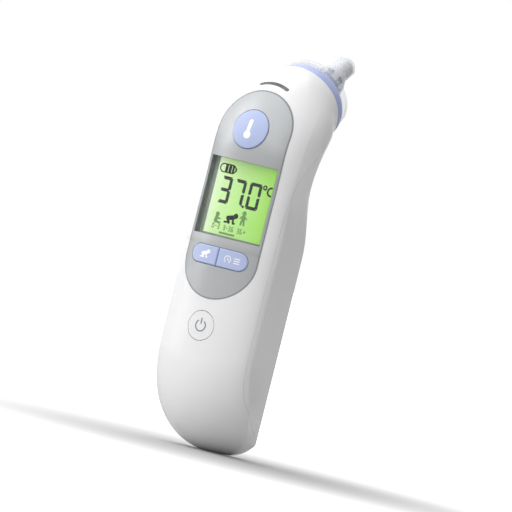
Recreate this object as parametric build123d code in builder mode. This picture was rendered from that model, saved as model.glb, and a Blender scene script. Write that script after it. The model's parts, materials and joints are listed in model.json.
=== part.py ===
"""Infrared ear thermometer, modelled as its separate pieces.

Frame: +Z runs up the handle, -Y looks out of the display, +X is to the right seen from the front.
The origin is the centre of the hand grip, GRIP_HEIGHT above the lowest point. Millimetres.
"""
import os
from math import cos, radians, sin, sqrt

from build123d import *

# ---------------------------------------------------------------- driving dimensions
GRIP_HEIGHT = 45.0  # lowest point to the grip centre
HALF_WIDTH = 19.8  # half width of the handle at its shoulder line
FRONT_Y = -17.2  # front of the handle on the centre line
BACK_Y = 16.4  # flat back of the handle
SHOULDER_Y = -8.0  # where the round front meets the flat, tapered sides
WALL = 1.8  # thickness of the housing
GAP = 0.1  # hairline between neighbouring housing pieces

HEAD_TILT = 53.0  # probe axis, degrees back from the handle axis
MOUTH_Y, MOUTH_HEIGHT = 15.8, 132.8  # centre of the round mouth of the head
MOUTH_RADIUS = 15.5

PANEL_RADIUS = 15.5  # control panel opening: a stadium
PANEL_BOTTOM, PANEL_TOP = 54.8, 133.8
TRIM = 0.5  # dark trim line round the panel
WINDOW_WIDTH, WINDOW_BOTTOM, WINDOW_TOP = 28.6, 77.7, 106.5

START_HEIGHT, START_RADIUS = 118.5, 7.3
PILL_HEIGHT, PILL_LENGTH, PILL_WIDTH = 70.5, 24.0, 6.8
POWER_HEIGHT, POWER_RADIUS = 44.8, 5.4
BUTTON_GAP = 0.2
BUTTON_TRAVEL = 0.7
PLUNGER_END = -9.6  # back end of every button's plunger

BOARD_FRONT, BOARD_BACK = -6.6, -5.4
CELL_RADIUS, CELL_LENGTH, CELL_PITCH, CELL_Y = 5.2, 44.5, 11.4, 8.7
BAY_CENTRE = 42.2
DOOR_HALF_WIDTH, DOOR_BOTTOM, DOOR_TOP, DOOR_THICKNESS = 13.2, 10.0, 71.0, 1.6

# Along the probe axis, from the mouth of the housing.
COLLAR_RADIUS, COLLAR_TOP_RADIUS, COLLAR_TOP = 15.2, 12.6, 6.0  # ejector collar
NOSE_ROOT_RADIUS, NOSE_RADIUS, NOSE_END = 4.6, 3.45, 29.2
FILTER_RADIUS = 4.0  # outside of the lens filter over the nose
FILTER_RIM_RADIUS, FILTER_END = 14.1, 30.0


def at(height):
    """Z of a height above the lowest point."""
    return height - GRIP_HEIGHT


# ---------------------------------------------------------------- outer form
END_HEIGHT = 34.0  # below this the front of the handle rounds off
NARROW_HEIGHT = 25.0  # below this the handle narrows as well
STRAIGHT_TOP = 74.0
END_POWER, NARROW_POWER = 2.7, 2.4

# Stations up the neck and head: front point (y, height), rear point (y, height), half width, roundness.
MOUTH_ALONG = MOUTH_RADIUS * cos(radians(HEAD_TILT))
MOUTH_UP = MOUTH_RADIUS * sin(radians(HEAD_TILT))
HEAD_STATIONS = [
    ((FRONT_Y, STRAIGHT_TOP), (BACK_Y, STRAIGHT_TOP), HALF_WIDTH, 0.0),
    ((FRONT_Y, STRAIGHT_TOP + 4), (BACK_Y - 0.05, STRAIGHT_TOP + 4), HALF_WIDTH, 0.0),
    ((FRONT_Y, 84.0), (15.9, 84.0), HALF_WIDTH, 0.06),
    ((FRONT_Y, 93.0), (14.2, 92.5), 19.9, 0.22),
    ((FRONT_Y, 105.0), (12.8, 102.0), 20.8, 0.5),
    ((-16.9, 118.5), (13.6, 110.6), 21.9, 0.75),
    ((-13.2, 129.0), (16.8, 115.4), 21.4, 0.9),
    ((-6.0, 138.2), (21.0, 117.9), 19.1, 1.0),
    (
        (MOUTH_Y - MOUTH_ALONG, MOUTH_HEIGHT + MOUTH_UP),
        (MOUTH_Y + MOUTH_ALONG, MOUTH_HEIGHT - MOUTH_UP),
        MOUTH_RADIUS,
        1.0,
    ),
]
# Control points of the right half of the round mouth's outline, as shares of its radius.
CIRCLE_FORM = [
    (0, -1), (0.3768, -1), (0.7217, -0.788), (0.892, -0.452),
    (1.060, -0.121), (0.999, 0.410), (0.643, 0.766),
    (0.463, 0.917), (0.235, 1), (0, 1),
]
SHOULDER_SHARE = 0.274  # shoulder line behind the front, as a share of the handle's depth
BACK_SHARE = 0.76  # width of the flat back, as a share of the handle's width


def handle_form(width, front, back, shoulder_share, back_width):
    """Control points of the right half of the handle's outline: round front, flat sides and back."""
    shoulder = front + shoulder_share * (back - front)
    turn = shoulder - 0.6 * (shoulder - front)
    step, taper = (back - shoulder) / 3, (width - back_width) / 3
    return [
        (0, front), (0.4545 * width, front), (width, turn), (width, shoulder),
        (width - taper, shoulder + step), (width - 2 * taper, back - step), (back_width, back),
        (2 * back_width / 3, back), (back_width / 3, back), (0, back),
    ]


def section_face(plane, points):
    """Face on a plane, bounded by a right half outline of cubic pieces and its mirror image."""
    with BuildSketch(plane) as face:
        with BuildLine():
            for start in (0, 3, 6):
                Bezier(*points[start:start + 4])
                Bezier(*[(-x, y) for x, y in points[start:start + 4]])
        make_face()
    return face.sketch


def shrink(share, power):
    """Share of full size left at a share of the way into a rounded end."""
    return (1 - share ** power) ** (1 / power)


def end_section(height, inset):
    """Control points of the handle's section near its rounded lower end."""
    rise = max(0.0, 1 - (height - inset) / (END_HEIGHT - inset))
    narrow = max(0.0, 1 - (height - inset) / (NARROW_HEIGHT - inset))
    full = HALF_WIDTH - inset
    width = full * shrink(narrow, NARROW_POWER)
    back = BACK_Y - inset
    depth = (back - FRONT_Y - inset) * shrink(rise, END_POWER)
    return handle_form(width, back - depth, back, SHOULDER_SHARE + 0.55 * rise ** 1.5, min(width, BACK_SHARE * full))


def corner_height(inset):
    """Height at which the flat back reaches its full width."""
    return inset + (NARROW_HEIGHT - inset) * (1 - shrink(BACK_SHARE, NARROW_POWER))


def station_plane(front, rear):
    """Plane through two points of the middle plane, its local Y from front to rear."""
    start, end = Vector(0, front[0], at(front[1])), Vector(0, rear[0], at(rear[1]))
    along = (end - start).normalized()
    return Plane(origin=(start + end) / 2, x_dir=(1, 0, 0), z_dir=(0, -along.Z, along.Y))


def station_points(front, rear, half_width, roundness, inset):
    """Control points of a neck or head section."""
    depth = sqrt((rear[0] - front[0]) ** 2 + (rear[1] - front[1]) ** 2) / 2 - inset
    width = half_width - inset
    form = handle_form(width, -depth, depth, SHOULDER_SHARE, BACK_SHARE * width)
    circle = [(width * x, depth * y) for x, y in CIRCLE_FORM]
    return [
        (a[0] + roundness * (b[0] - a[0]), a[1] + roundness * (b[1] - a[1])) for a, b in zip(form, circle)
    ]


def body_solid(inset):
    """The whole thermometer body, moved in by inset all round."""
    corner = corner_height(inset)
    low = [inset + 0.5, inset + 1.4, inset + 2.8, (inset + 2.8 + corner) / 2, corner]
    high = [corner, corner + 2.5, corner + 6.0, 17.5, 22.5, 28.0, END_HEIGHT]
    with BuildPart() as solid:
        for levels in (low, high):
            loft([section_face(Plane.XY.offset(at(h)), end_section(h, inset)) for h in levels])
        extrude(
            section_face(Plane.XY.offset(at(END_HEIGHT)), end_section(END_HEIGHT, inset)),
            amount=STRAIGHT_TOP - END_HEIGHT,
        )
        loft([
            section_face(station_plane(front, rear), station_points(front, rear, half_width, roundness, inset))
            for front, rear, half_width, roundness in HEAD_STATIONS
        ])
    return solid.part


# Probe frame: heights along the probe axis, measured from the mouth's plane.
AXIS_Y, AXIS_Z = sin(radians(HEAD_TILT)), cos(radians(HEAD_TILT))
MOUTH = (0, MOUTH_Y, at(MOUTH_HEIGHT))
PROBE_PLANE = Plane(origin=MOUTH, x_dir=(1, 0, 0), z_dir=(0, AXIS_Y, AXIS_Z))
PROFILE_PLANE = Plane(origin=MOUTH, x_dir=(1, 0, 0), z_dir=(0, -AXIS_Z, AXIS_Y))
PROBE_AXIS = Axis(MOUTH, (0, AXIS_Y, AXIS_Z))


# ---------------------------------------------------------------- helpers
def block(x0, x1, y0, y1, low, high, mode=Mode.ADD):
    """Box between two corners, its low and high sides given as heights."""
    with Locations(((x0 + x1) / 2, (y0 + y1) / 2, at((low + high) / 2))):
        Box(x1 - x0, y1 - y0, high - low, mode=mode)


def rod_y(radius, y0, y1, x, height, mode=Mode.ADD):
    """Cylinder running front to back."""
    with Locations(Location((x, (y0 + y1) / 2, at(height)), (90, 0, 0))):
        Cylinder(radius, y1 - y0, mode=mode)


def rod_z(radius, low, high, x, y, mode=Mode.ADD):
    """Cylinder running up the handle."""
    with Locations((x, y, at((low + high) / 2))):
        Cylinder(radius, high - low, mode=mode)


def front_prism(outline, depth=30.0):
    """A front view outline, run forward from the middle plane of the handle."""
    with BuildPart() as prism:
        extrude(outline, amount=depth)
    return prism.part


def stadium(radius):
    """Outline of the control panel at a given end radius, in front view."""
    middle = (PANEL_BOTTOM + PANEL_TOP) / 2
    straight = PANEL_TOP - PANEL_BOTTOM - 2 * PANEL_RADIUS
    with BuildSketch(Plane.XZ) as outline:
        with Locations((0, at(middle))):
            SlotCenterToCenter(straight, 2 * radius, rotation=90)
    return outline.sketch


def pill(grow, side):
    """Outline of one half of the split button, on the +X or -X side, in front view."""
    with BuildSketch(Plane.XZ) as outline:
        with Locations((0, at(PILL_HEIGHT))):
            SlotOverall(PILL_LENGTH + 2 * grow, PILL_WIDTH + 2 * grow)
        with Locations((side * (15 + 0.15 - grow), at(PILL_HEIGHT))):
            Rectangle(30, 20, mode=Mode.INTERSECT)
    return outline.sketch


def door_prism(grow, y0, y1):
    """The battery door's outline on the back of the handle, grown all round."""
    with BuildPart() as prism:
        with BuildSketch(Plane.XZ.offset(-y1)):
            with Locations((0, at((DOOR_BOTTOM + DOOR_TOP) / 2))):
                RectangleRounded(2 * (DOOR_HALF_WIDTH + grow), DOOR_TOP - DOOR_BOTTOM + 2 * grow, 4 + grow)
        extrude(amount=y1 - y0)
    return prism.part


def rear_region(grow):
    """Everything behind the parting line of the two shells, grown forward."""
    seam = [
        (19.5, 4.0), (16.4, 7.0), (13.7, 9.3), (8.2, 12.0), (0.8, 16.6), (-7.0, 23.1), (-10.0, 32.0),
        (-10.4, 42.0), (-10.4, 60.0), (-10.2, 78.0), (-9.6, 92.0), (-7.8, 101.6), (-3.2, 110.4),
        (3.2, 118.2), (9.6, 125.8), (MOUTH_Y, MOUTH_HEIGHT), (MOUTH_Y + 16 * AXIS_Y, MOUTH_HEIGHT + 16 * AXIS_Z),
    ]
    line = [(y - 1.4 * grow, at(height) - 0.2 * grow) for y, height in seam]
    with BuildPart() as region:
        with BuildSketch(Plane.YZ):
            with BuildLine():
                Spline(*line)
                Polyline(line[-1], (60, line[-1][1]), (60, line[0][1] - 10), (line[0][0], line[0][1] - 10), line[0])
            make_face()
        extrude(amount=40, both=True)
    return region.part


def turned(points, mode=Mode.ADD):
    """Solid turned about the probe axis from (radius, height) points."""
    with BuildSketch(PROFILE_PLANE) as profile:
        with BuildLine():
            Polyline(*points, close=True)
        make_face()
    revolve(profile.sketch, axis=PROBE_AXIS, mode=mode)


def ring(inner, outer, low, high, mode=Mode.ADD):
    """Plain ring, or a disc with an inner radius of zero, about the probe axis."""
    turned([(inner, low), (outer, low), (outer, high), (inner, high)], mode)


def coil(radius, wire, length, pitch):
    """Helical spring wire up the local Z axis, its ends square to the wire."""
    with BuildPart() as spring:
        with BuildLine() as path:
            Helix(pitch, length, radius)
        with BuildSketch(Plane(origin=path.line @ 0, z_dir=path.line % 0)):
            Circle(wire)
        sweep(is_frenet=True)
    return spring.part


def save(label, builder):
    """Label a finished piece and write its file."""
    part = builder.part
    part.label = label
    export_step(part, "parts/" + label + ".step")


os.makedirs("parts", exist_ok=True)
outer, inner = body_solid(0), body_solid(WALL)
with BuildPart() as skin_block:
    add(outer)
    add(inner, mode=Mode.SUBTRACT)
skin = skin_block.part

# ---------------------------------------------------------------- housing
SCREW_X, SCREW_HEIGHT = 8.6, 12.0
GUIDE_PLANE = Plane(origin=(0, -7.9, at(136.9)), x_dir=(1, 0, 0), z_dir=(0, -1, 1))
GUIDE_ARC = CenterArc((0, -17.6), 18, 72, 36)  # centre line of the guide light, bowed up like the panel's end
LATCH_HEIGHT = 76.0


def guide_slot(grow):
    """Slot for the guide light above the panel, run through the wall."""
    with BuildPart() as slot:
        with BuildSketch(GUIDE_PLANE):
            SlotArc(GUIDE_ARC, 1.6 + 2 * grow)
        extrude(amount=4, both=True)
    return slot.part


with BuildPart() as front_shell:
    add(skin)
    add(rear_region(GAP), mode=Mode.SUBTRACT)
    add(front_prism(stadium(PANEL_RADIUS)), mode=Mode.SUBTRACT)
    add(guide_slot(0), mode=Mode.SUBTRACT)
    rod_y(POWER_RADIUS + BUTTON_GAP, -30, 0, 0, POWER_HEIGHT, Mode.SUBTRACT)
    with BuildPart(mode=Mode.PRIVATE) as bosses:
        for x in (-SCREW_X, SCREW_X):
            rod_y(2.6, -20, 10.3, x, SCREW_HEIGHT)
        add(outer, mode=Mode.INTERSECT)
    add(bosses.part)
    for x in (-SCREW_X, SCREW_X):
        rod_y(1.05, -2, 11, x, SCREW_HEIGHT, Mode.SUBTRACT)
save("front_shell", front_shell)

with BuildPart() as rear_shell:
    add(skin)
    add(rear_region(0), mode=Mode.INTERSECT)
    with BuildPart(mode=Mode.PRIVATE) as ledge:
        block(-20, 20, 12.4, 14.7, 8.6, 72.4)
        block(-12, 12, 10.5, 14.7, 9.0, 13.9)
        add(outer, mode=Mode.INTERSECT)
        add(rear_region(0), mode=Mode.INTERSECT)
    add(ledge.part)
    add(door_prism(0.15, BACK_Y - DOOR_THICKNESS - 0.1, 30), mode=Mode.SUBTRACT)
    block(-12.1, 12.1, 5, 30, 14.2, 70.0, Mode.SUBTRACT)
    for x in (-SCREW_X, SCREW_X):
        rod_y(1.2, 5, 20, x, SCREW_HEIGHT, Mode.SUBTRACT)
        rod_y(2.1, 12.8, 20, x, SCREW_HEIGHT, Mode.SUBTRACT)
    rod_y(2.2, 10, 20, 0, LATCH_HEIGHT, Mode.SUBTRACT)
save("rear_shell", rear_shell)

with BuildPart() as battery_door:
    add(door_prism(0, BACK_Y - DOOR_THICKNESS, 30))
    add(outer, mode=Mode.INTERSECT)
    for x in (-11.55, 11.55):
        block(x - 0.35, x + 0.35, 12.6, 14.9, 20, 64)
    block(-3, 3, 11.7, 14.9, 67.5, 69.5)
    for step in range(5):
        with Locations((0, BACK_Y, at(58.0 + 1.8 * step))):
            Box(13, 0.7, 0.8, mode=Mode.SUBTRACT)
save("battery_door", battery_door)

with BuildPart() as door_latch:
    rod_y(2.0, 12.9, BACK_Y - 0.15, 0, LATCH_HEIGHT)
    rod_y(2.8, 12.9, 14.1, 0, LATCH_HEIGHT)
    block(-1.5, 1.5, 10.6, 13.2, 73.3, LATCH_HEIGHT)
    block(-1.5, 1.5, 10.6, 11.8, 69.8, 73.4)
save("door_latch", door_latch)

with BuildPart() as case_screws:
    for x in (-SCREW_X, SCREW_X):
        rod_y(1.9, 12.85, 14.3, x, SCREW_HEIGHT)
        rod_y(1.0, 0.5, 12.85, x, SCREW_HEIGHT)
        with Locations((x, 14.3, at(SCREW_HEIGHT))):
            Box(2.4, 1.2, 0.5, mode=Mode.SUBTRACT)
            Box(0.5, 1.2, 2.4, mode=Mode.SUBTRACT)
save("case_screws", case_screws)

with BuildPart() as control_panel:
    add(skin)
    add(front_prism(stadium(PANEL_RADIUS - TRIM)), mode=Mode.INTERSECT)
    block(-WINDOW_WIDTH / 2, WINDOW_WIDTH / 2, -30, 0, WINDOW_BOTTOM, WINDOW_TOP, Mode.SUBTRACT)
    rod_y(START_RADIUS + BUTTON_GAP, -30, 0, 0, START_HEIGHT, Mode.SUBTRACT)
    for side in (-1, 1):
        add(front_prism(pill(BUTTON_GAP, side)), mode=Mode.SUBTRACT)
save("control_panel", control_panel)

with BuildPart() as panel_trim:
    add(skin)
    add(front_prism(stadium(PANEL_RADIUS - 0.05)), mode=Mode.INTERSECT)
    add(front_prism(stadium(PANEL_RADIUS - TRIM + 0.05)), mode=Mode.SUBTRACT)
save("panel_trim", panel_trim)

with BuildPart() as display_window:
    add(skin)
    half = WINDOW_WIDTH / 2 - GAP
    block(-half, half, -30, 0, WINDOW_BOTTOM + GAP, WINDOW_TOP - GAP, Mode.INTERSECT)
save("display_window", display_window)

with BuildPart() as guide_light_lens:
    add(skin)
    add(guide_slot(-GAP), mode=Mode.INTERSECT)
save("guide_light_lens", guide_light_lens)

# ---------------------------------------------------------------- buttons
with BuildPart() as start_button:
    lean = radians(11)
    dome = 26.0
    rod_y(START_RADIUS, -22, -11.8, 0, START_HEIGHT)
    with Locations((0, -16.9 + (dome - 0.7) * cos(lean), at(START_HEIGHT) - (dome - 0.7) * sin(lean))):
        Sphere(dome, mode=Mode.INTERSECT)
    fillet(start_button.edges().sort_by(Axis.Y)[0], 0.5)
    rod_y(START_RADIUS + 0.8, -12.2, -11.4, 0, START_HEIGHT)
    rod_y(2.0, -11.4, PLUNGER_END, 0, START_HEIGHT)
save("start_button", start_button)

with BuildPart() as proud_handle:
    extrude(section_face(Plane.XY.offset(at(PILL_HEIGHT - 10)), end_section(END_HEIGHT, -0.4)), amount=20)
with BuildPart() as memory_button:
    add(front_prism(pill(0, 1)))
    add(proud_handle.part, mode=Mode.INTERSECT)
    block(-20, 20, -13.2, 0, 50, 90, Mode.SUBTRACT)
    chamfer(memory_button.faces().sort_by(Axis.Y)[0].edges(), 0.35)
    block(0.3, 10.2, -13.3, -12.5, PILL_HEIGHT - 3.9, PILL_HEIGHT + 3.9)
    rod_y(1.6, -12.5, PLUNGER_END, 6.2, PILL_HEIGHT)
save("memory_button", memory_button)

with BuildPart() as age_button:
    add(mirror(memory_button.part, about=Plane.YZ, mode=Mode.PRIVATE))
save("age_button", age_button)

with BuildPart() as power_button:
    rod_y(POWER_RADIUS, -22, -14.0, 0, POWER_HEIGHT)
    with BuildPart(mode=Mode.PRIVATE) as flush_handle:
        extrude(section_face(Plane.XY.offset(at(POWER_HEIGHT - 8)), end_section(END_HEIGHT, 0)), amount=16)
    add(flush_handle.part, mode=Mode.INTERSECT)
    rod_y(POWER_RADIUS + 1.0, -14.6, -13.8, 0, POWER_HEIGHT)
    rod_y(1.7, -13.8, PLUNGER_END, 0, POWER_HEIGHT)
save("power_button", power_button)

# ---------------------------------------------------------------- display stack
with BuildPart() as lcd_panel:
    block(-13.1, 13.1, -12.1, -10.6, 76.4, 107.2)
save("lcd_panel", lcd_panel)

with BuildPart() as lcd_backlight:
    block(-12.9, 12.9, -10.55, -9.0, 78.4, 107.0)
save("lcd_backlight", lcd_backlight)

EARS = [(x, height) for x in (-12.2, 12.2) for height in (73.5, 110.2)]
with BuildPart() as lcd_frame:
    block(-14.0, 14.0, -11.4, -8.8, 75.0, 108.6)
    for x, height in EARS:
        rod_y(1.6, -11.2, BOARD_FRONT - 0.05, x, height)
        block(x - 1.6, x + 1.6, -11.2, -8.8, min(height, 108), max(height, 76))
    block(-13.25, 13.25, -20, 0, 76.25, 107.35, Mode.SUBTRACT)
    for x, height in EARS:
        rod_y(1.05, -10.2, 0, x, height, Mode.SUBTRACT)
save("lcd_frame", lcd_frame)

with BuildPart() as display_connector:
    block(-11.5, 11.5, -10.55, BOARD_FRONT - 0.05, 76.6, 78.2)
save("display_connector", display_connector)

with BuildPart() as backlight_leds:
    for x in (-8, 0, 8):
        block(x - 1.2, x + 1.2, -8.9, BOARD_FRONT - 0.05, 103.4, 105.0)
save("backlight_leds", backlight_leds)

# ---------------------------------------------------------------- main board
with BuildPart() as main_board:
    block(-14.2, 14.2, BOARD_FRONT, BOARD_BACK, 38, 113)
    block(-10.5, 10.5, BOARD_FRONT, BOARD_BACK, 112, 127)
    for x, height in EARS:
        rod_y(1.1, -10, 0, x, height, Mode.SUBTRACT)
    fillet(main_board.edges().filter_by(Axis.Y).filter_by(lambda e: e.length > 1.1 and abs(e.center().X) > 10.4
           and not 70 < e.center().Z + GRIP_HEIGHT < 111), 1.2)
save("main_board", main_board)

with BuildPart() as board_screws:
    for x, height in EARS:
        rod_y(1.9, BOARD_BACK + 0.05, -4.2, x, height)
        rod_y(1.0, -9.8, BOARD_BACK + 0.05, x, height)
        with Locations((x, -4.2, at(height))):
            Box(2.2, 1.0, 0.5, mode=Mode.SUBTRACT)
            Box(0.5, 1.0, 2.2, mode=Mode.SUBTRACT)
save("board_screws", board_screws)

PAD_SPOTS = [(0, POWER_HEIGHT), (-6.2, PILL_HEIGHT), (6.2, PILL_HEIGHT), (0, START_HEIGHT)]
with BuildPart() as keypad_mat:
    block(-10.2, 10.2, -8.0, -7.0, 66.0, 74.4)
    block(-4, 4, -8.0, -7.0, 44, 66.5)
    rod_y(5.2, -8.0, -7.0, 0, POWER_HEIGHT)
    rod_y(7.0, -8.0, -7.0, 0, START_HEIGHT)
    for x, height in PAD_SPOTS:
        with Locations(Location((x, -8.3, at(height)), (90, 0, 0))):
            Cone(2.8, 2.1, 0.6)
save("keypad_mat", keypad_mat)

with BuildPart() as switch_domes:
    for x, height in PAD_SPOTS:
        rod_y(2.5, -6.95, BOARD_FRONT - 0.05, x, height)
save("switch_domes", switch_domes)

with BuildPart() as microcontroller:
    block(-5, 5, BOARD_BACK + 0.15, -4.0, 87, 97)
    rod_y(0.5, -4.2, -3.5, -4, 96, Mode.SUBTRACT)
save("microcontroller", microcontroller)

with BuildPart() as memory_chip:
    block(-10.5, -6.5, BOARD_BACK + 0.15, -4.3, 99, 104)
save("memory_chip", memory_chip)

with BuildPart() as clock_crystal:
    with Locations(Location((9, -4.3, at(99)), (0, 0, 0))):
        Cylinder(0.95, 6)
save("clock_crystal", clock_crystal)

with BuildPart() as beeper:
    rod_y(5.5, BOARD_BACK + 0.05, -2.2, 0, 80)
    rod_y(1.0, -3.2, -2.0, 0, 80, Mode.SUBTRACT)
save("beeper", beeper)

with BuildPart() as board_components:
    for height, x, width in ((104, -2, 1.6), (104, 2, 1.6), (100.5, 0, 3.0), (84, 9, 1.6), (87, 9, 1.6),
                             (90, 9, 1.6), (62, -6, 3.2), (62, 4, 2.0), (56, 6, 1.6), (48, -8, 1.6), (118, -6, 1.6)):
        block(x - width / 2, x + width / 2, BOARD_BACK + 0.05, -4.5, height - 0.6, height + 0.6)
save("board_components", board_components)

with BuildPart() as sensor_connector:
    block(-4, 4, BOARD_BACK + 0.05, -3.2, 108, 112)
save("sensor_connector", sensor_connector)

# ---------------------------------------------------------------- battery bay
LOW, HIGH = BAY_CENTRE - CELL_LENGTH / 2, BAY_CENTRE + CELL_LENGTH / 2
NUB = 0.8
with BuildPart() as battery_tray:
    block(-11.9, 11.9, 2.2, 3.2, LOW - 4.75, HIGH + 4.75)
    block(-11.9, 11.9, 3.1, 11.2, LOW - 4.75, LOW - 3.55)
    block(-11.9, 11.9, 3.1, 11.2, HIGH + 3.55, HIGH + 4.75)
    for x in (-11.55, 11.55):
        block(x - 0.35, x + 0.35, 3.1, 8, LOW - 4, HIGH + 4)
save("battery_tray", battery_tray)

for label, x, nub_up in (("battery_left", -CELL_PITCH / 2, True), ("battery_right", CELL_PITCH / 2, False)):
    with BuildPart() as cell:
        low, high = (LOW, HIGH - NUB) if nub_up else (LOW + NUB, HIGH)
        rod_z(CELL_RADIUS, low, high, x, CELL_Y)
        fillet(cell.edges(), 0.4)
        rod_z(1.9, *((high - 0.1, HIGH) if nub_up else (LOW, low + 0.1)), x, CELL_Y)
    save(label, cell)

with BuildPart() as bridge_contact:
    block(-9, 9, 4.2, 10.8, HIGH + 3.15, HIGH + 3.45)
    rod_z(1.8, HIGH + 0.05, HIGH + 3.2, -CELL_PITCH / 2, CELL_Y)
save("bridge_contact", bridge_contact)

with BuildPart() as positive_contact:
    block(1.5, 9.5, 4.2, 10.8, LOW - 3.45, LOW - 3.15)
    rod_z(1.8, LOW - 3.2, LOW - 0.05, CELL_PITCH / 2, CELL_Y)
save("positive_contact", positive_contact)

with BuildPart() as negative_contact:
    block(-9.5, -1.5, 4.2, 10.8, LOW - 3.45, LOW - 3.15)
save("negative_contact", negative_contact)

for label, x, low in (("spring_left", -CELL_PITCH / 2, LOW - 3.1), ("spring_right", CELL_PITCH / 2, HIGH + 0.05)):
    with BuildPart() as spring:
        with Locations((x, CELL_Y, at(low + 0.35))):
            add(coil(2.9, 0.3, 2.4, 0.8))
    save(label, spring)

with BuildPart() as battery_leads:
    for x in (-9.5, 9.5):
        block(x - 1, x + 1, 1.3, 1.7, LOW - 5.2, 43)
        block(x - 1, x + 1, BOARD_BACK + 0.05, 1.7, 42.6, 43)
        block(x - 1, x + 1, 1.3, 9.0, LOW - 5.2, LOW - 4.85)
save("battery_leads", battery_leads)

# ---------------------------------------------------------------- probe
SCREW_CIRCLE = 10.6
SPRING_RADIUS = 8.4


def round_screws(radius, low, high, mode=Mode.ADD):
    """Three cylinders on the probe's screw circle."""
    with Locations(PROBE_PLANE):
        with PolarLocations(SCREW_CIRCLE, 3, start_angle=30):
            with Locations((0, 0, (low + high) / 2)):
                Cylinder(radius, high - low, mode=mode)


with BuildPart() as probe_base:
    ring(5.0, 12.7, -2.6, -0.6)
    ring(SPRING_RADIUS - 0.9, SPRING_RADIUS + 0.9, -1.6, 0, Mode.SUBTRACT)
    round_screws(0.85, -2.8, -1.2, Mode.SUBTRACT)
save("probe_base", probe_base)

with BuildPart() as probe_nose:
    turned([
        (2.7, -4.2), (12.2, -4.2), (12.2, -2.8), (NOSE_ROOT_RADIUS, -2.8), (NOSE_ROOT_RADIUS, 15.5),
        (NOSE_RADIUS + 0.1, 22.5), (NOSE_RADIUS, NOSE_END - 1.2), (3.1, NOSE_END - 0.3), (2.6, NOSE_END),
        (2.0, NOSE_END), (2.0, NOSE_END - 2.6), (2.7, NOSE_END - 2.6),
    ])
    round_screws(0.95, -4.5, -2.5, Mode.SUBTRACT)
save("probe_nose", probe_nose)

with BuildPart() as probe_screws:
    round_screws(1.3, -5.35, -4.25)
    round_screws(0.8, -4.3, -1.4)
save("probe_screws", probe_screws)

with BuildPart() as sensor_can:
    ring(0, 2.65, 20.5, 21.0)
    ring(0, 2.3, 20.9, 24.6)
save("sensor_can", sensor_can)

with BuildPart() as sensor_window:
    ring(0, 1.5, 24.65, 24.9)
save("sensor_window", sensor_window)

with BuildPart() as wave_guide:
    ring(1.9, 2.6, 25.0, 26.5)
save("wave_guide", wave_guide)

with BuildPart() as sensor_holder:
    ring(1.5, 2.6, 3.0, 15.6)
    ring(1.5, 2.1, 15.5, 20.4)
save("sensor_holder", sensor_holder)

with BuildPart() as probe_heater:
    ring(2.2, 2.6, 15.8, 20.2)
save("probe_heater", probe_heater)

with BuildPart() as sensor_leads:
    with Locations(PROBE_PLANE):
        with PolarLocations(0.9, 4, start_angle=45):
            with Locations((0, 0, 7.675)):
                Cylinder(0.2, 25.45)
save("sensor_leads", sensor_leads)

with BuildPart() as sensor_board:
    ring(0, 7.0, -6.1, -5.1)
save("sensor_board", sensor_board)

with BuildPart() as sensor_flex:
    with BuildSketch(Plane.YZ.offset(-3)):
        start, end = (-3.8, at(112.2)), (12.6, at(126.5))
        Polygon(start, (-1.0, at(116.5)), end, (end[0] - 0.2, end[1] + 0.2), (-1.25, at(116.8)), (-4.1, start[1]), align=None)
    extrude(amount=6)
save("sensor_flex", sensor_flex)

with BuildPart() as filter_ejector:
    with BuildSketch(PROFILE_PLANE) as collar:
        with BuildLine():
            ThreePointArc((COLLAR_RADIUS, 0.2), (14.55, 3.6), (COLLAR_TOP_RADIUS, COLLAR_TOP))
            Polyline(
                (COLLAR_TOP_RADIUS, COLLAR_TOP), (8.6, COLLAR_TOP), (7.0, 11.0), (5.8, 13.5), (5.0, 13.5), (5.0, 10.0),
                (6.0, 9.0), (7.6, COLLAR_TOP - 1.2), (11.6, COLLAR_TOP - 1.2),
            )
            ThreePointArc((11.6, COLLAR_TOP - 1.2), (13.3, 3.2), (13.9, 0.2))
            Line((13.9, 0.2), (COLLAR_RADIUS, 0.2))
        make_face()
    revolve(collar.sketch, axis=PROBE_AXIS)
save("filter_ejector", filter_ejector)

with BuildPart() as ejector_fingers:
    ring(4.85, 5.2, 13.55, 18.4)
    with Locations(PROBE_PLANE):
        with PolarLocations(5.0, 6, start_angle=15):
            with Locations((0, 0, 17)):
                Box(2.4, 2.8, 4.2, mode=Mode.SUBTRACT)
save("ejector_fingers", ejector_fingers)

with BuildPart() as ejector_spring:
    with Locations(PROBE_PLANE):
        with Locations((0, 0, -1.25)):
            add(coil(SPRING_RADIUS, 0.3, 5.5, 1.375))
save("ejector_spring", ejector_spring)

with BuildPart() as lens_filter:
    turned([
        (9.45, 6.3), (13.6, 6.3), (FILTER_RIM_RADIUS, 6.3), (FILTER_RIM_RADIUS, 7.9), (13.6, 7.9), (13.6, 6.7),
        (9.8, 6.7), (7.95, 11.5), (6.6, 15.5), (5.9, 18.5), (5.0, 20.6), (FILTER_RADIUS, 22.8),
        (FILTER_RADIUS, FILTER_END - 1.0), (3.5, FILTER_END - 0.1), (0, FILTER_END), (0, FILTER_END - 0.3),
        (3.3, FILTER_END - 0.4), (3.7, FILTER_END - 1.1), (3.7, 22.8), (4.65, 20.6), (5.55, 18.4), (6.25, 15.4),
        (7.6, 11.4),
    ])
    with Locations(PROBE_PLANE):
        with PolarLocations(FILTER_RIM_RADIUS + 0.1, 60):
            with Locations((0, 0, 7.1)):
                Cylinder(0.3, 3, mode=Mode.SUBTRACT)
save("lens_filter", lens_filter)

# ---------------------------------------------------------------- guide light
with BuildPart() as guide_light_led:
    with BuildSketch(GUIDE_PLANE.offset(-3.9)):
        Rectangle(6, 1.6)
    extrude(amount=0.9)
save("guide_light_led", guide_light_led)

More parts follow.
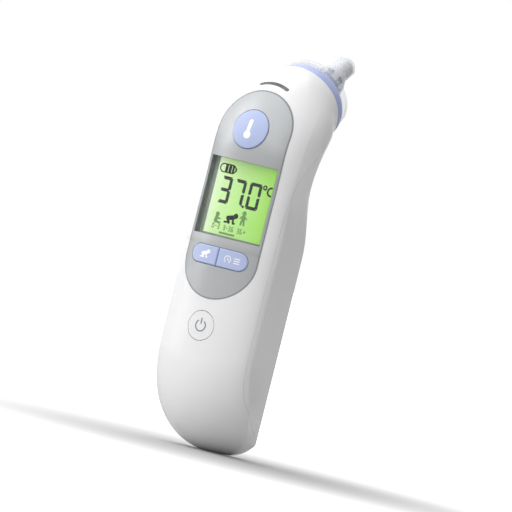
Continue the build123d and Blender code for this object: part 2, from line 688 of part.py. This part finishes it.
with BuildPart() as guide_light_board:
    with BuildSketch(GUIDE_PLANE.offset(-5.0)):
        Rectangle(12, 5)
    extrude(amount=1.0)
save("guide_light_board", guide_light_board)
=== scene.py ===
"""Looks of the ear thermometer: materials, printed marks, display content, floor, light and camera."""
import json
from math import cos, pi, radians, sin

import bmesh
import bpy
from mathutils import Matrix, Vector
from mathutils.bvhtree import BVHTree
from mathutils.geometry import tessellate_polygon


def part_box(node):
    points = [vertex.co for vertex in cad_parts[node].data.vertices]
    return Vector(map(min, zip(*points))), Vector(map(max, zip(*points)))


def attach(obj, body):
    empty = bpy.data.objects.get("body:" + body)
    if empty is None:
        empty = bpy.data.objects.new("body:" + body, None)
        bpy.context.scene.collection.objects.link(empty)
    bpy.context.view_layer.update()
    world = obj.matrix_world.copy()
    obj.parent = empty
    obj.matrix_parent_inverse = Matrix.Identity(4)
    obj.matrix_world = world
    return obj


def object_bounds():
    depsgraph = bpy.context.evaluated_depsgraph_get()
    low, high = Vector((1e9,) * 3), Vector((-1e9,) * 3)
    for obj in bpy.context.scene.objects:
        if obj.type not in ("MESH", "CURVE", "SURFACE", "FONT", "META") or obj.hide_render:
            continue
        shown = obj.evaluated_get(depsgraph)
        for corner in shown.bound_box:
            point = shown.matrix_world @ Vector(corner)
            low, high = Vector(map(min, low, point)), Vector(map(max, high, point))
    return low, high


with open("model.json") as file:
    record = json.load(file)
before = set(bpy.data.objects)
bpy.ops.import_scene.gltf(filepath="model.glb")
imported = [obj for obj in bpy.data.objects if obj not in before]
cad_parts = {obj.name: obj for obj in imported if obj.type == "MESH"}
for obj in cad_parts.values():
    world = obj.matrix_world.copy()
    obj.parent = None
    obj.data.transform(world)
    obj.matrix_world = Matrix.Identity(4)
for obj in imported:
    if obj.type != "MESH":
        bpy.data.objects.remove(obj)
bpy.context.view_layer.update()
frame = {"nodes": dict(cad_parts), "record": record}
nodes = frame["nodes"]
MM = 0.001


# ---------------------------------------------------------------- materials
GRAIN_DEPTH = 0.00001  # moulding grain, in metres
PAINT_DEPTH = 0.0000015  # grain of the smooth silver paint
FLOW_DEPTH = 0.00002  # flow marks in clear mouldings
PIXEL_DEPTH = 0.000005  # grain of the lit display
SCATTER = (0.002, 0.002, 0.0025)  # how far light travels in white and blue plastic
EDGE_START, EDGE_FULL = 0.3, 0.95  # how edge on a clear wall starts to look dense, and looks densest


def new_material(name):
    """New node material: (material, its node tree, its Principled shader)."""
    material = bpy.data.materials.new(name)
    material.use_nodes = True
    tree = material.node_tree
    shader = tree.nodes["Principled BSDF"]
    return material, tree, shader


def noise(tree, scale, detail=3.0, roughness=0.55):
    """Noise in object space, its scale in cells per metre."""
    place = tree.nodes.new("ShaderNodeTexCoord")
    texture = tree.nodes.new("ShaderNodeTexNoise")
    texture.inputs["Scale"].default_value = scale
    texture.inputs["Detail"].default_value = detail
    texture.inputs["Roughness"].default_value = roughness
    tree.links.new(place.outputs["Object"], texture.inputs["Vector"])
    return texture.outputs["Fac"]


def ramp(tree, value, stops):
    """Colour ramp from (position, colour) stops."""
    node = tree.nodes.new("ShaderNodeValToRGB")
    elements = node.color_ramp.elements
    while len(elements) < len(stops):
        elements.new(0.5)
    for element, (position, colour) in zip(elements, stops):
        element.position = position
        element.color = (*colour, 1.0)
    tree.links.new(value, node.inputs["Fac"])
    return node.outputs["Color"]


def spread(tree, value, low, high):
    """Maps noise's middle range to low..high."""
    node = tree.nodes.new("ShaderNodeMapRange")
    node.inputs["From Min"].default_value = 0.3
    node.inputs["From Max"].default_value = 0.7
    node.inputs["To Min"].default_value = low
    node.inputs["To Max"].default_value = high
    tree.links.new(value, node.inputs["Value"])
    return node.outputs["Result"]


def bump(tree, shader, value, strength, distance):
    """Bump from a value, its height in metres."""
    node = tree.nodes.new("ShaderNodeBump")
    node.inputs["Strength"].default_value = strength
    node.inputs["Distance"].default_value = distance
    tree.links.new(value, node.inputs["Height"])
    tree.links.new(node.outputs["Normal"], shader.inputs["Normal"])


def moulded(name, colour, rough, vary=0.03, grain=900.0, depth=GRAIN_DEPTH,
            metallic=0.0, coat=0.0, sub=0.0, emit=0.0):
    """Moulded plastic or painted surface: faint colour drift, uneven gloss and fine grain."""
    material, tree, shader = new_material(name)
    drift = noise(tree, 60.0, 4.0)
    low = tuple(c * (1 - vary) for c in colour)
    high = tuple(min(1.0, c * (1 + vary)) for c in colour)
    tree.links.new(ramp(tree, drift, [(0.3, low), (0.7, high)]), shader.inputs["Base Color"])
    gloss = spread(tree, noise(tree, 140.0, 5.0), rough * 0.85, rough * 1.2)
    tree.links.new(gloss, shader.inputs["Roughness"])
    bump(tree, shader, noise(tree, grain, 2.0), 0.25, depth)
    shader.inputs["Metallic"].default_value = metallic
    shader.inputs["Coat Weight"].default_value = coat
    shader.inputs["Coat Roughness"].default_value = 0.08
    if sub:
        shader.inputs["Subsurface Weight"].default_value = sub
        shader.inputs["Subsurface Radius"].default_value = SCATTER
        shader.inputs["Subsurface Scale"].default_value = 1.0
    if emit:
        shader.inputs["Emission Color"].default_value = (*colour, 1.0)
        shader.inputs["Emission Strength"].default_value = emit
    return material


def metal(name, colour, rough):
    """Bare or plated metal with fine streaks."""
    material, tree, shader = new_material(name)
    streaks = noise(tree, 700.0, 4.0, 0.6)
    low = tuple(c * 0.85 for c in colour)
    tree.links.new(ramp(tree, streaks, [(0.3, low), (0.7, colour)]), shader.inputs["Base Color"])
    tree.links.new(spread(tree, streaks, rough * 0.7, rough * 1.4), shader.inputs["Roughness"])
    bump(tree, shader, streaks, 0.2, GRAIN_DEPTH)
    shader.inputs["Metallic"].default_value = 1.0
    return material


def clear(name, colour, rough, alpha, edge):
    """Thin clear moulding with faint flow marks, see-through face on and denser where it is seen edge on."""
    material, tree, shader = new_material(name)
    low = tuple(c * 0.97 for c in colour)
    tree.links.new(ramp(tree, noise(tree, 80.0), [(0.3, low), (0.7, colour)]), shader.inputs["Base Color"])
    gloss = spread(tree, noise(tree, 200.0, 3.0), rough * 0.6, rough * 1.6)
    tree.links.new(gloss, shader.inputs["Roughness"])
    bump(tree, shader, noise(tree, 90.0, 2.0), 0.1, FLOW_DEPTH)
    shader.inputs["Specular IOR Level"].default_value = 1.0
    facing = tree.nodes.new("ShaderNodeLayerWeight")
    facing.inputs["Blend"].default_value = 0.5
    density = tree.nodes.new("ShaderNodeMapRange")
    density.interpolation_type = "SMOOTHSTEP"
    density.inputs["From Min"].default_value = EDGE_START
    density.inputs["From Max"].default_value = EDGE_FULL
    density.inputs["To Min"].default_value = alpha
    density.inputs["To Max"].default_value = edge
    tree.links.new(facing.outputs["Facing"], density.inputs["Value"])
    tree.links.new(density.outputs["Result"], shader.inputs["Alpha"])
    return material


WHITE = (0.80, 0.80, 0.81)
BLUE = (0.43, 0.50, 0.74)
finishes = {
    "shell_white": moulded("shell_white_look", WHITE, 0.22, vary=0.008, coat=0.35, sub=0.05),
    "panel_grey": moulded("panel_grey_look", (0.40, 0.41, 0.42), 0.37, vary=0.01, depth=PAINT_DEPTH,
                          metallic=0.85),
    "trim_dark": moulded("trim_dark_look", (0.26, 0.27, 0.28), 0.4),
    "button_blue": moulded("button_blue_look", BLUE, 0.35, vary=0.02, coat=0.15, sub=0.1),
    "clear_window": clear("clear_window_look", (0.22, 0.26, 0.23), 0.03, 0.11, 0.85),
    "lcd_green": moulded("lcd_edge_look", (0.35, 0.42, 0.33), 0.2),
    "backlight": moulded("backlight_look", (0.6, 0.9, 0.4), 0.5, emit=0.6),
    "inner_frame": moulded("inner_frame_look", (0.42, 0.45, 0.43), 0.6, grain=1500.0),
    "guide_smoke": moulded("guide_smoke_look", (0.05, 0.05, 0.055), 0.12, coat=0.5),
    "silicone": moulded("silicone_look", (0.55, 0.56, 0.58), 0.6),
    "elastomer": moulded("elastomer_look", (0.06, 0.06, 0.065), 0.6),
    "board_green": moulded("board_green_look", (0.02, 0.17, 0.07), 0.35, vary=0.15),
    "chip_black": moulded("chip_black_look", (0.02, 0.02, 0.022), 0.5, grain=2500.0),
    "steel": metal("steel_look", (0.6, 0.6, 0.6), 0.3),
    "nickel": metal("nickel_look", (0.72, 0.70, 0.66), 0.22),
    "gold": metal("gold_look", (0.85, 0.62, 0.25), 0.2),
    "cell_jacket": moulded("cell_jacket_look", (0.05, 0.07, 0.12), 0.3, metallic=0.4, coat=0.4),
    "bay_white": moulded("bay_white_look", (0.7, 0.7, 0.7), 0.5, grain=1500.0),
    "nose_white": moulded("nose_white_look", (0.76, 0.76, 0.78), 0.35, vary=0.01, sub=0.1),
    "ejector_blue": moulded("ejector_blue_look", (0.38, 0.44, 0.72), 0.33, vary=0.02, sub=0.2, coat=0.15),
    "finger_blue": moulded("finger_blue_look", (0.10, 0.12, 0.30), 0.4),
    "filter_clear": clear("filter_clear_look", (0.66, 0.69, 0.74), 0.08, 0.16, 0.52),
    "flex_amber": moulded("flex_amber_look", (0.45, 0.22, 0.05), 0.3, vary=0.08),
    "sensor_glass": moulded("sensor_glass_look", (0.05, 0.05, 0.06), 0.1, coat=0.5),
}
for entry in frame["record"]["subparts"]:
    piece = nodes[entry["node"]]
    for index in range(max(1, len(piece.material_slots))):
        if not piece.material_slots:
            piece.data.materials.append(None)
        piece.material_slots[index].link = "OBJECT"
        piece.material_slots[index].material = finishes[entry["material_slot"]]


# ---------------------------------------------------------------- printed marks and display content
def disc(x, z, radius, count=28):
    """Round outline, in millimetres."""
    turns = [2 * pi * i / count for i in range(count)]
    return [[(x + radius * cos(turn), z + radius * sin(turn)) for turn in turns]]


def arc(x, z, inner, outer, start, end, count=36):
    """Ring piece between two angles in degrees, as a row of small outlines."""
    turns = [radians(start + (end - start) * i / count) for i in range(count + 1)]
    return [
        [(x + r * cos(t), z + r * sin(t)) for r, t in ((inner, a), (outer, a), (outer, b), (inner, b))]
        for a, b in zip(turns, turns[1:])
    ]


def bar(x0, z0, x1, z1, width):
    """Straight stroke with square ends."""
    along = Vector((x1 - x0, z1 - z0)).normalized() * width / 2
    side = Vector((-along.y, along.x))
    return [[(x0 + side.x, z0 + side.y), (x0 - side.x, z0 - side.y),
             (x1 - side.x, z1 - side.y), (x1 + side.x, z1 + side.y)]]


def stroke(x0, z0, x1, z1, width):
    """Straight stroke with round ends."""
    angle = Vector((x1 - x0, z1 - z0)).angle_signed(Vector((1, 0)))
    outline = []
    for x, z, turn in ((x1, z1, -pi / 2), (x0, z0, pi / 2)):
        turns = [angle + turn + pi * i / 10 for i in range(11)]
        outline += [(x + width / 2 * cos(t), z + width / 2 * sin(t)) for t in turns]
    return [outline]


PRINT_LIFT, PRINT_THICKNESS, PRINT_STEP = 0.00003, 0.00004, 0.0005  # print on a button, in metres
GLOW_LIFT, INK_LIFT, FILM, DISPLAY_STEP = 0.00002, 0.00005, 0.00002, 0.002  # layers on the display
LAYER_GAP, LAYERS = 0.000005, 5  # overlapping outlines take turns at slightly different depths


def marks(name, outlines, node, material, body,
          lift=PRINT_LIFT, thickness=PRINT_THICKNESS, step=PRINT_STEP):
    """Thin marks laid on the front of a node. Outlines are (x, height) in mm from the node's box centre."""
    low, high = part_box(node)
    middle = (Vector(low) + Vector(high)) / 2
    source = nodes[node]
    tree = BVHTree.FromPolygons([source.matrix_world @ v.co for v in source.data.vertices],
                                [tuple(p.vertices) for p in source.data.polygons])
    start = low[1] - 0.004
    build = bmesh.new()
    for number, outline in enumerate(outlines):
        layer = start - LAYER_GAP * (number % LAYERS)
        points = [Vector((middle.x + x * MM, layer, middle.z + z * MM)) for x, z in outline]
        made = [build.verts.new(point) for point in points]
        for triangle in tessellate_polygon([points]):
            build.faces.new([made[i] for i in triangle])
    for _ in range(6):
        long_edges = [edge for edge in build.edges if edge.calc_length() > step]
        if not long_edges:
            break
        bmesh.ops.subdivide_edges(build, edges=long_edges, cuts=1)
        bmesh.ops.triangulate(build, faces=build.faces[:])
    for vert in build.verts:
        hit = tree.ray_cast(vert.co, Vector((0, 1, 0)))[0]
        vert.co.y += (hit.y if hit else middle.y) - lift - start
    build.normal_update()
    flip = [face for face in build.faces if face.normal.y > 0]
    bmesh.ops.reverse_faces(build, faces=flip)
    mesh = bpy.data.meshes.new(name)
    build.to_mesh(mesh)
    build.free()
    piece = bpy.data.objects.new(name, mesh)
    bpy.context.scene.collection.objects.link(piece)
    mesh.materials.append(material)
    solid = piece.modifiers.new("thickness", "SOLIDIFY")
    solid.thickness = thickness
    solid.offset = 1.0
    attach(piece, body)
    return piece


def moved(outlines, x, z, scale=1.0):
    """Outlines scaled, then shifted."""
    return [[(x + scale * a, z + scale * b) for a, b in outline] for outline in outlines]


def seven_segment(digit, x, z, width, height, thick):
    """Seven-segment digit, its lower left corner at (x, z), with clipped segment ends."""
    lit = {"0": "abcdef", "3": "abcdg", "6": "acdefg", "7": "abc"}[digit]
    half, t, clip = height / 2, thick, thick * 0.28
    shapes = {
        "a": [(clip, height), (width - clip, height), (width - t + clip, height - t), (t - clip, height - t)],
        "d": [(clip, 0), (t - clip, t), (width - t + clip, t), (width - clip, 0)],
        "g": [(clip, half), (t * 0.6, half + t / 2), (width - t * 0.8, half + t / 2), (width - t * 0.5, half),
              (width - t * 0.8, half - t / 2), (t * 0.6, half - t / 2)],
        "b": [(width, height - clip), (width, half + clip), (width - t / 2, half + clip * 0.5),
              (width - t, half + t / 2), (width - t, height - t + clip * 0.3)],
        "c": [(width, clip), (width - t, t - clip * 0.3), (width - t, half - t / 2),
              (width - t / 2, half - clip * 0.5), (width, half - clip)],
        "f": [(0, height - clip), (t, height - t + clip * 0.3), (t, half + t / 2),
              (t / 2, half + clip * 0.5), (0, half + clip)],
        "e": [(0, clip), (0, half - clip), (t / 2, half - clip * 0.5), (t, half - t / 2),
              (t, t - clip * 0.3)],
    }
    return moved([shapes[segment] for segment in lit], x, z)


def crawling_child():
    """Small crawling figure about four units wide, centred."""
    head, back = disc(1.5, 1.05, 0.72), stroke(-0.8, 0.15, 0.8, 0.55, 1.25)
    arm, hand = stroke(0.75, 0.35, 1.0, -1.05, 0.62), stroke(0.95, -1.05, 1.45, -1.05, 0.5)
    thigh, shin = stroke(-0.9, 0.0, -0.35, -1.0, 0.8), stroke(-0.5, -0.95, -1.7, -1.1, 0.5)
    return head + back + arm + thigh + shin + hand


def sitting_child():
    """Small sitting figure, centred."""
    head, back = disc(0.1, 1.5, 0.75), stroke(0, 0.45, -0.15, -0.7, 1.25)
    arm, leg = stroke(0.1, 0.35, 1.3, 0.2, 0.5), stroke(-0.1, -0.95, 1.5, -1.05, 0.65)
    return head + back + arm + leg


def standing_child():
    """Small standing figure, centred."""
    head, trunk = disc(0, 2.0, 0.85), stroke(0, 0.7, 0, -0.2, 1.5)
    arms = stroke(-0.5, 0.9, -1.35, 0.1, 0.5) + stroke(0.5, 0.9, 1.35, 0.1, 0.5)
    legs = stroke(-0.4, -0.6, -0.65, -2.0, 0.75) + stroke(0.4, -0.6, 0.65, -2.0, 0.75)
    return head + trunk + arms + legs


white_print = moulded("white_print_look", (0.93, 0.94, 0.97), 0.4, vary=0.01)
grey_print = moulded("grey_print_look", (0.20, 0.21, 0.23), 0.45, vary=0.03)
ink = moulded("lcd_ink_look", (0.006, 0.018, 0.008), 0.6, vary=0.1)
ink.node_tree.nodes["Principled BSDF"].inputs["Specular IOR Level"].default_value = 0.1  # it lies under glass
faint_ink = moulded("lcd_faint_ink_look", (0.16, 0.33, 0.09), 0.45, vary=0.05, emit=0.25)


SHADE_LEFT, SHADE_RIGHT, GLOW_STRENGTH = -12.2, 12.8, 0.46  # the green deepens between these, in mm


def display_light():
    """Lit display: pale on the left and stronger green to the right, with a fine grain."""
    material, tree, shader = new_material("display_light_look")
    place = tree.nodes.new("ShaderNodeTexCoord")
    split = tree.nodes.new("ShaderNodeSeparateXYZ")
    tree.links.new(place.outputs["Object"], split.inputs["Vector"])
    across = tree.nodes.new("ShaderNodeMapRange")
    across.inputs["From Min"].default_value = SHADE_LEFT * MM
    across.inputs["From Max"].default_value = SHADE_RIGHT * MM
    tree.links.new(split.outputs["X"], across.inputs["Value"])
    colour = ramp(tree, across.outputs["Result"],
                  [(0.0, (0.80, 0.96, 0.66)), (0.16, (0.62, 0.88, 0.40)),
                   (0.5, (0.48, 0.80, 0.26)), (1.0, (0.38, 0.76, 0.12))])
    tree.links.new(colour, shader.inputs["Base Color"])
    tree.links.new(colour, shader.inputs["Emission Color"])
    shader.inputs["Emission Strength"].default_value = GLOW_STRENGTH
    tree.links.new(spread(tree, noise(tree, 300.0), 0.15, 0.25), shader.inputs["Roughness"])
    bump(tree, shader, noise(tree, 1500.0), 0.1, PIXEL_DEPTH)
    shader.inputs["Specular IOR Level"].default_value = 0.2
    return material


GLOW_LEFT, GLOW_RIGHT, GLOW_LOW, GLOW_HIGH, GLOW_STEP = -11.8, 13.05, -13.4, 14.6, 0.003
lit = [[(GLOW_LEFT, GLOW_LOW), (GLOW_RIGHT, GLOW_LOW), (GLOW_RIGHT, GLOW_HIGH), (GLOW_LEFT, GLOW_HIGH)]]
marks("display_glow", lit, "lcd_panel", display_light(), "housing",
      lift=GLOW_LIFT, thickness=FILM, step=GLOW_STEP)

GRIP_HEIGHT = 45.0  # the frame's origin is this far above the base, in mm
LCD_CENTRE = (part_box("lcd_panel")[0][2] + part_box("lcd_panel")[1][2]) / 2 / MM + GRIP_HEIGHT


def on_lcd(outlines):
    """Outlines given by height above the base, shifted to the display's centre."""
    return moved(outlines, 0, -LCD_CENTRE)


DIGITS_LOW, DIGITS_TALL, STROKE = 89.9, 10.0, 1.25
reading = (seven_segment("3", -9.1, DIGITS_LOW, 4.6, DIGITS_TALL, STROKE)
           + seven_segment("7", -3.3, DIGITS_LOW, 4.9, DIGITS_TALL, STROKE)
           + seven_segment("0", 3.1, DIGITS_LOW, 5.3, DIGITS_TALL, STROKE)
           + disc(2.2, DIGITS_LOW + 0.5, 0.5, 14)
           + arc(9.6, 99.0, 0.38, 0.95, 0, 360, 20) + arc(12.5, 97.9, 1.15, 1.85, 70, 290, 20))
CELL_LEFT, CELL_RIGHT, CELL_MIDDLE, CELL_INNER, CELL_OUTER = -9.5, -5.9, 102.7, 1.3, 1.75
CELL_TOP, CELL_FOOT = 104.22, 101.18
battery = (arc(CELL_LEFT, CELL_MIDDLE, CELL_INNER, CELL_OUTER, 90, 270, 14)
           + bar(CELL_LEFT, CELL_TOP, CELL_RIGHT, CELL_TOP, 0.45)
           + bar(CELL_LEFT, CELL_FOOT, CELL_RIGHT, CELL_FOOT, 0.45)
           + arc(CELL_RIGHT, CELL_MIDDLE, CELL_INNER, CELL_OUTER, -90, 90, 14)
           + bar(-4.2, 102.0, -4.2, 103.4, 0.5)
           + bar(-8.3, 101.3, -8.3, 104.1, 1.2)
           + bar(-6.8, 101.3, -6.8, 104.1, 1.2)
           + bar(-5.45, 101.4, -5.45, 104.0, 0.9))
marks("display_reading", on_lcd(reading + battery + moved(crawling_child(), -1.6, 85.0, 1.35)),
      "lcd_panel", ink, "housing", lift=INK_LIFT, thickness=FILM, step=DISPLAY_STEP)

AGE_LOW, AGE_TALL, AGE_WIDE, AGE_STROKE = 80.4, 1.9, 1.0, 0.32
AGE_MIDDLE = AGE_LOW + 1.0


def age_digit(digit, x):
    """Small digit in the row of ages."""
    return seven_segment(digit, x, AGE_LOW, AGE_WIDE, AGE_TALL, AGE_STROKE)


def age_dash(x0, x1):
    """Dash in the row of ages."""
    return bar(x0, AGE_MIDDLE, x1, AGE_MIDDLE, AGE_STROKE)


infant = age_digit("0", -8.7) + age_dash(-7.4, -6.7) + age_digit("3", -6.4)
toddler = age_digit("3", -3.9) + age_dash(-2.6, -1.9) + age_digit("3", -1.6) + age_digit("6", -0.3)
older = (age_digit("3", 2.2) + age_digit("6", 3.5) + age_dash(4.9, 6.0)
         + bar(5.45, AGE_MIDDLE - 0.55, 5.45, AGE_MIDDLE + 0.55, AGE_STROKE))
underline = bar(-5.0, 79.3, 1.6, 79.3, 0.7)
faint = (moved(sitting_child(), -7.5, 84.0, 1.15) + moved(standing_child(), 3.7, 86.0, 1.05)
         + infant + toddler + older + underline)
marks("display_symbols", on_lcd(faint), "lcd_panel", faint_ink, "housing",
      lift=INK_LIFT, thickness=FILM, step=DISPLAY_STEP)

thermometer = disc(0, -2.2, 1.5) + stroke(0, -2.2, 0, 2.9, 1.55)
marks("start_symbol", thermometer, "start_button", white_print, "start_button")
marks("age_symbol", moved(crawling_child(), 0.4, 0, 1.05),
      "age_button", white_print, "age_button")
clock = (arc(-0.6, 0, 1.15, 1.5, -60, 240, 30) + bar(-0.6, 0.75, -0.6, -0.1, 0.3)
         + bar(-0.6, 0, 0.15, -0.35, 0.3))
rows = [bar(2.0, height, 4.4, height, 0.42)[0] for height in (0.9, 0, -0.9)]
marks("memory_symbol", moved(clock + rows, -1.0, 0, 0.95),
      "memory_button", white_print, "memory_button")
standby = arc(0, 0, 1.85, 2.25, 125, 415, 48) + stroke(0, 0.75, 0, 2.7, 0.4)
marks("standby_symbol", standby, "power_button", grey_print, "power_button")


# ---------------------------------------------------------------- floor, light and camera
def area_light(name, place, aim, size, power):
    """Soft white light at a point in metres, facing another."""
    data = bpy.data.lights.new(name, "AREA")
    data.shape = "RECTANGLE"
    data.size, data.size_y = size
    data.energy = power
    light = bpy.data.objects.new(name, data)
    light.location = place
    light.rotation_euler = (Vector(aim) - Vector(place)).to_track_quat("-Z", "Y").to_euler()
    bpy.context.scene.collection.objects.link(light)


FLOOR_GREY, FLOOR_REACH, FLOOR_GAP = 0.46, 6.0, 0.0002  # grey of the floor, which the camera sees only as a painted shadow near the object; half width and drop below the base, in metres
PAINTED_SHADOW_CENTRE, PAINTED_SHADOW_START, PAINTED_SHADOW_END = (0.03, -0.01, 0.0), 0.0, 0.24  # painted shadow pool: where the floor's grey fades out to white for the camera


def floor_look():
    """Matt pale floor with a painted shadow pool: the camera sees it grey round the object and fading to pure
    white away from it.
    """
    material, tree, shader = new_material("floor_look")
    shader.inputs["Base Color"].default_value = (FLOOR_GREY, FLOOR_GREY, FLOOR_GREY, 1)
    shader.inputs["Roughness"].default_value = 1.0
    shader.inputs["Specular IOR Level"].default_value = 0.0
    place = tree.nodes.new("ShaderNodeTexCoord")
    reach = tree.nodes.new("ShaderNodeVectorMath")
    reach.operation = "DISTANCE"
    reach.inputs[1].default_value = PAINTED_SHADOW_CENTRE
    tree.links.new(place.outputs["Object"], reach.inputs[0])
    fade = tree.nodes.new("ShaderNodeMapRange")
    fade.interpolation_type = "SMOOTHSTEP"
    fade.inputs["From Min"].default_value = PAINTED_SHADOW_START
    fade.inputs["From Max"].default_value = PAINTED_SHADOW_END
    tree.links.new(reach.outputs["Value"], fade.inputs["Value"])
    # the white glow reaches camera rays only, so the grey the camera sees round the object is painted shadow
    path = tree.nodes.new("ShaderNodeLightPath")
    seen = tree.nodes.new("ShaderNodeMath")
    seen.operation = "MULTIPLY"
    tree.links.new(fade.outputs["Result"], seen.inputs[0])
    tree.links.new(path.outputs["Is Camera Ray"], seen.inputs[1])
    tree.links.new(seen.outputs["Value"], shader.inputs["Emission Strength"])
    shader.inputs["Emission Color"].default_value = (1, 1, 1, 1)
    return material


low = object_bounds()[0]
floor_mesh = bpy.data.meshes.new("floor")
build = bmesh.new()
bmesh.ops.create_grid(build, x_segments=8, y_segments=8, size=FLOOR_REACH)
build.to_mesh(floor_mesh)
build.free()
floor = bpy.data.objects.new("floor", floor_mesh)
floor.location = (0, 0, low[2] - FLOOR_GAP)
bpy.context.scene.collection.objects.link(floor)
floor_mesh.materials.append(floor_look())

LIT_SIDE = Vector((-0.80, -0.52, 0.30)).normalized()  # the front left, a little up
DIM, BRIGHT = 0.24, 1.62  # studio brightness away from that side and on it
world = bpy.data.worlds.new("studio")
bpy.context.scene.world = world
world.use_nodes = True
tree = world.node_tree
toward = tree.nodes.new("ShaderNodeTexCoord")
lean = tree.nodes.new("ShaderNodeVectorMath")
lean.operation = "DOT_PRODUCT"
lean.inputs[1].default_value = LIT_SIDE
tree.links.new(toward.outputs["Generated"], lean.inputs[0])
fade = tree.nodes.new("ShaderNodeMapRange")
fade.interpolation_type = "SMOOTHSTEP"
fade.inputs["From Min"].default_value = -0.85
fade.inputs["From Max"].default_value = 0.75
fade.inputs["To Min"].default_value = DIM
fade.inputs["To Max"].default_value = BRIGHT
tree.links.new(lean.outputs["Value"], fade.inputs["Value"])
path = tree.nodes.new("ShaderNodeLightPath")
backdrop = tree.nodes.new("ShaderNodeMix")
tree.links.new(path.outputs["Is Camera Ray"], backdrop.inputs["Factor"])
tree.links.new(fade.outputs["Result"], backdrop.inputs["A"])
backdrop.inputs["B"].default_value = 1.0
tree.links.new(backdrop.outputs["Result"], tree.nodes["Background"].inputs["Color"])
tree.nodes["Background"].inputs["Strength"].default_value = 1.0

area_light("key", (-0.72, -0.42, 0.35), (0, 0, 0.02), (0.4, 0.9), 1.1)
area_light("top", (-0.15, 0.15, 0.8), (0, 0, 0), (0.5, 0.5), 0.7)

AZIMUTH, ELEVATION, LEAN = radians(31), radians(0.3), radians(14)
right = Vector((cos(AZIMUTH), sin(AZIMUTH), 0))
back = Vector((sin(AZIMUTH) * cos(ELEVATION), -cos(AZIMUTH) * cos(ELEVATION), sin(ELEVATION)))
up = back.cross(right)
camera_right = cos(LEAN) * right + sin(LEAN) * up
camera_up = -sin(LEAN) * right + cos(LEAN) * up
target = Vector((0.0040, 0.0024, 0.0291))
DISTANCE, FIELD = 2.5, 0.1875
camera_data = bpy.data.cameras.new("camera")
camera_data.lens = camera_data.sensor_width * DISTANCE / FIELD
camera = bpy.data.objects.new("camera", camera_data)
camera.matrix_world = Matrix.Translation(target + back * DISTANCE) @ Matrix(
    (camera_right, camera_up, back)).transposed().to_4x4()
bpy.context.scene.collection.objects.link(camera)
bpy.context.scene.camera = camera
bpy.context.scene.view_settings.view_transform = "Standard"
